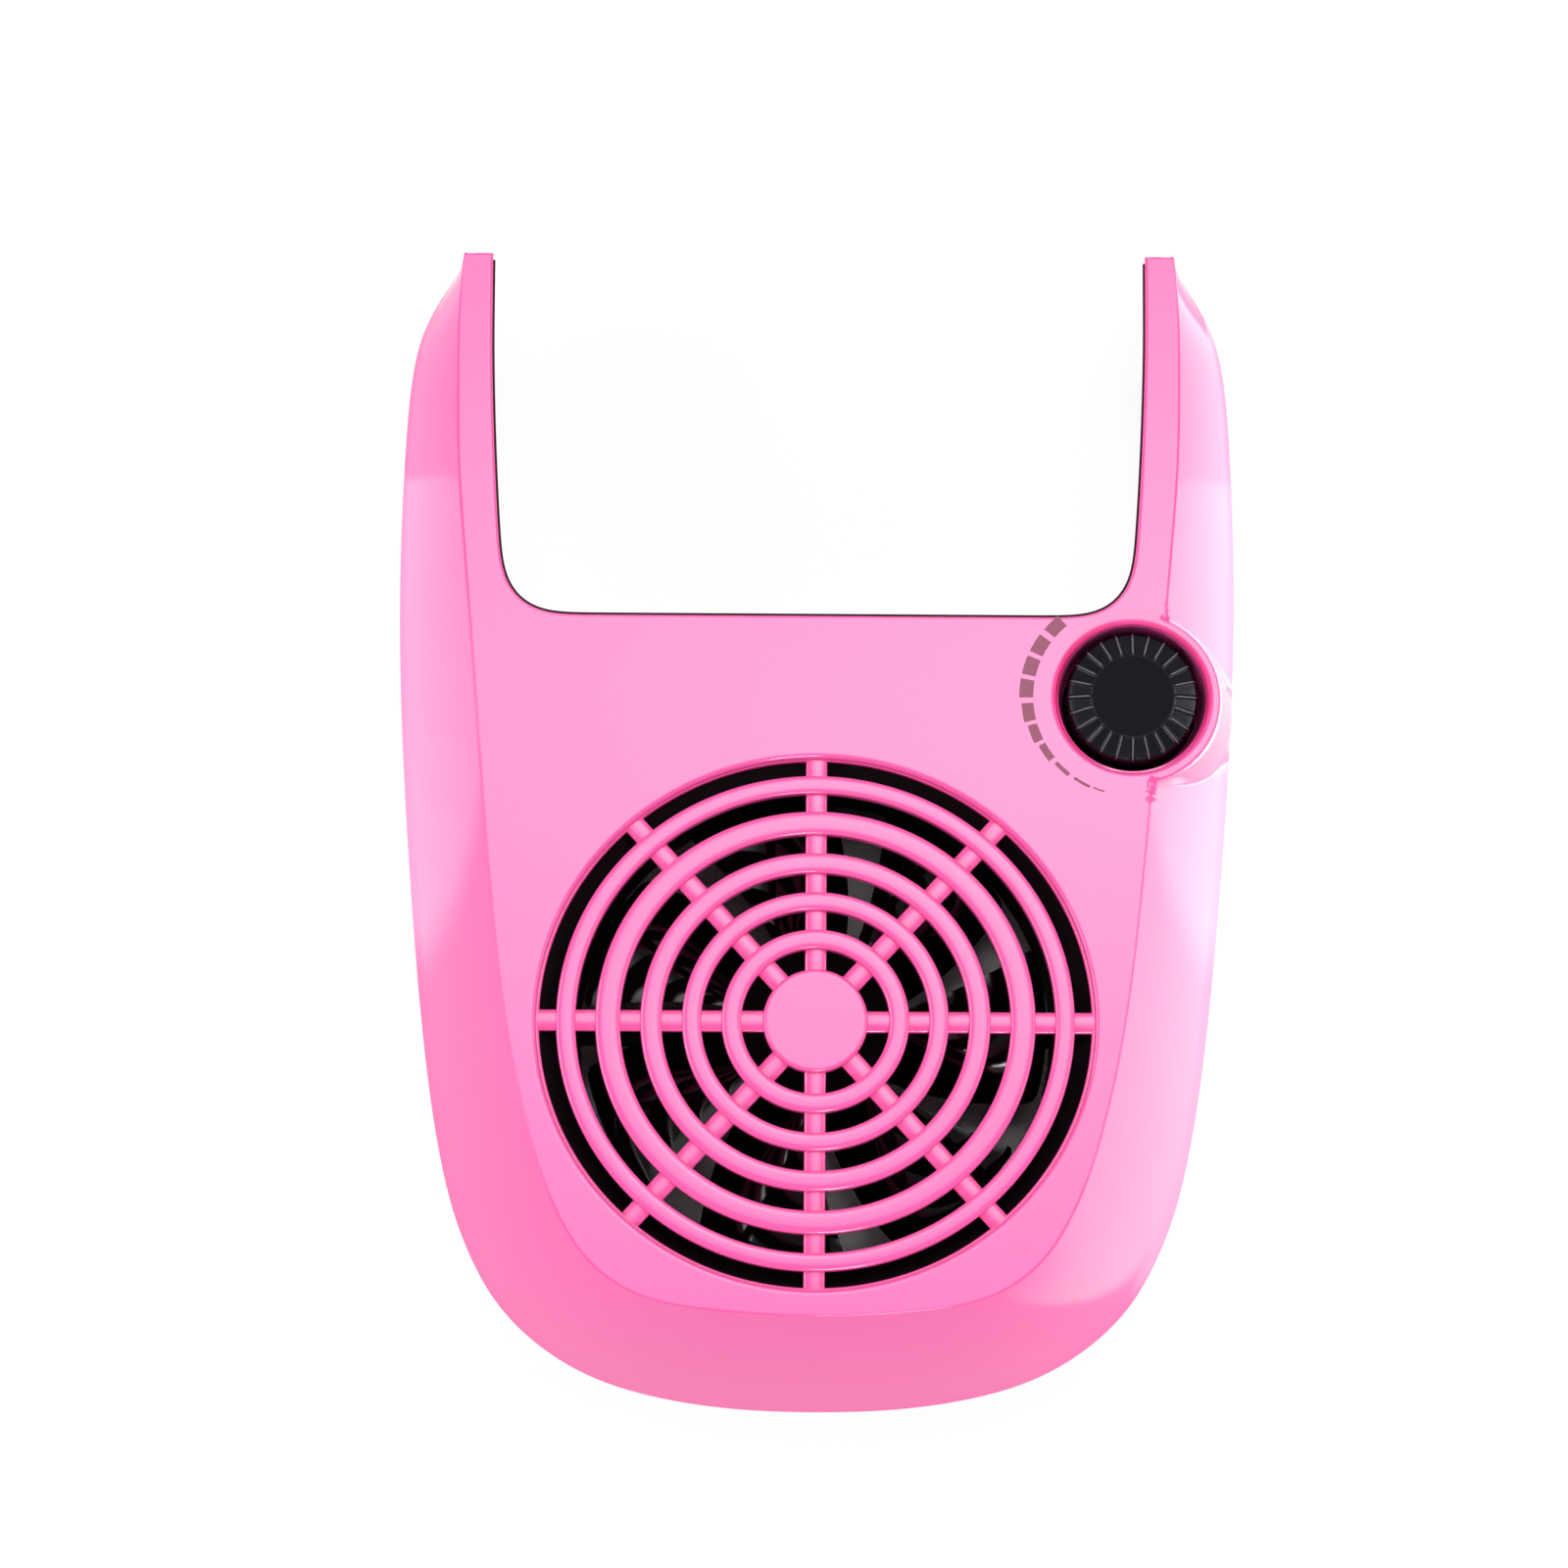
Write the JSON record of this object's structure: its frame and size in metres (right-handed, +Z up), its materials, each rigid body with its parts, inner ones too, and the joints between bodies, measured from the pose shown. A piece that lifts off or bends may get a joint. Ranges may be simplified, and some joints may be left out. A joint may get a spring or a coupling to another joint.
{
  "type": "nail dust collector",
  "caption": "Desk-top nail dust collector: a sloped pink housing with a round fan grille, a speed knob and a rear notch between two arms.",
  "frame": {"origin": "on the table, under the middle of the footprint", "axes": "+X to the right as seen from the front, +Y from the fan towards the arms' tips, +Z up"},
  "size_m": [0.2116, 0.292, 0.07],
  "materials": {
    "cover_pink": "glossy pink injection-moulded ABS",
    "grille_pink": "glossy pink injection-moulded ABS",
    "case_white": "semi-gloss white moulded ABS",
    "drawer_white": "semi-gloss white moulded ABS",
    "seal_rubber": "matt dark rubber strip",
    "fan_black": "glossy black glass-filled plastic",
    "knob_black": "satin black plastic with moulded ribs",
    "rubber_foot": "matt black rubber",
    "screw_steel": "zinc-plated steel",
    "shaft_steel": "ground steel",
    "core_steel": "dark laminated steel and ferrite",
    "coil_copper": "enamelled copper wire",
    "board_green": "green solder-masked board",
    "aluminium": "plain aluminium",
    "component_black": "black component case",
    "connector_white": "off-white nylon",
    "lead_sheath": "black flexible sheath",
    "sleeve_grey": "dark grey moulded plastic",
    "filter_card": "stiff card",
    "filter_paper": "pleated filter paper"
  },
  "bodies": {
    "housing": {"bearing_lower": "shaft_steel", "bearing_upper": "shaft_steel", "board_capacitor": "component_black", "board_heat_sink": "aluminium", "bottom_case": "case_white", "case_screw_front_left": "screw_steel", "case_screw_front_right": "screw_steel", "case_screw_middle_left": "screw_steel", "case_screw_middle_right": "screw_steel", "case_screw_rear_left": "screw_steel", "case_screw_rear_right": "screw_steel", "control_board": "board_green", "fan_connector": "connector_white", "fan_frame": "fan_black", "fan_lead": "lead_sheath", "fan_screw_1": "screw_steel", "fan_screw_2": "screw_steel", "fan_screw_3": "screw_steel", "fan_screw_4": "screw_steel", "filter_sleeve": "sleeve_grey", "foot_front_left": "rubber_foot", "foot_front_right": "rubber_foot", "foot_rear_left": "rubber_foot", "foot_rear_right": "rubber_foot", "inlet_nut": "shaft_steel", "inlet_pin": "shaft_steel", "intake_funnel": "fan_black", "intake_grille": "grille_pink", "motor_board": "board_green", "notch_seal": "seal_rubber", "potentiometer_body": "aluminium", "potentiometer_nut": "shaft_steel", "potentiometer_washer": "shaft_steel", "power_connector": "connector_white", "power_inlet": "component_black", "power_lead": "lead_sheath", "stator_coil_1": "coil_copper", "stator_coil_2": "coil_copper", "stator_coil_3": "coil_copper", "stator_coil_4": "coil_copper", "stator_core": "core_steel", "top_cover": "cover_pink"},
    "rotor": {"fan_rotor": "fan_black", "rotor_magnet": "core_steel", "rotor_shaft": "shaft_steel"},
    "knob": {"speed_knob": "knob_black", "potentiometer_shaft": "aluminium"},
    "drawer": {"filter_tray": "drawer_white", "filter_frame": "filter_card", "filter_pleats": "filter_paper", "drawer_seal": "seal_rubber"}
  },
  "joints": [
    {"name": "fan_spin", "type": "hinge", "parent": "housing", "child": "rotor", "pos_m": [0, -0.0525, 0.045], "axis": [0, 0, 1], "continuous": true},
    {"name": "knob_turn", "type": "hinge", "parent": "housing", "child": "knob", "pos_m": [0.078, 0.029, 0.055], "axis": [0, 0, 1], "range_deg": [-280, 0]},
    {"name": "drawer_slide", "type": "slide", "parent": "housing", "child": "drawer", "axis": [0, 1, 0], "range_m": [0, 0.06]}
  ]
}
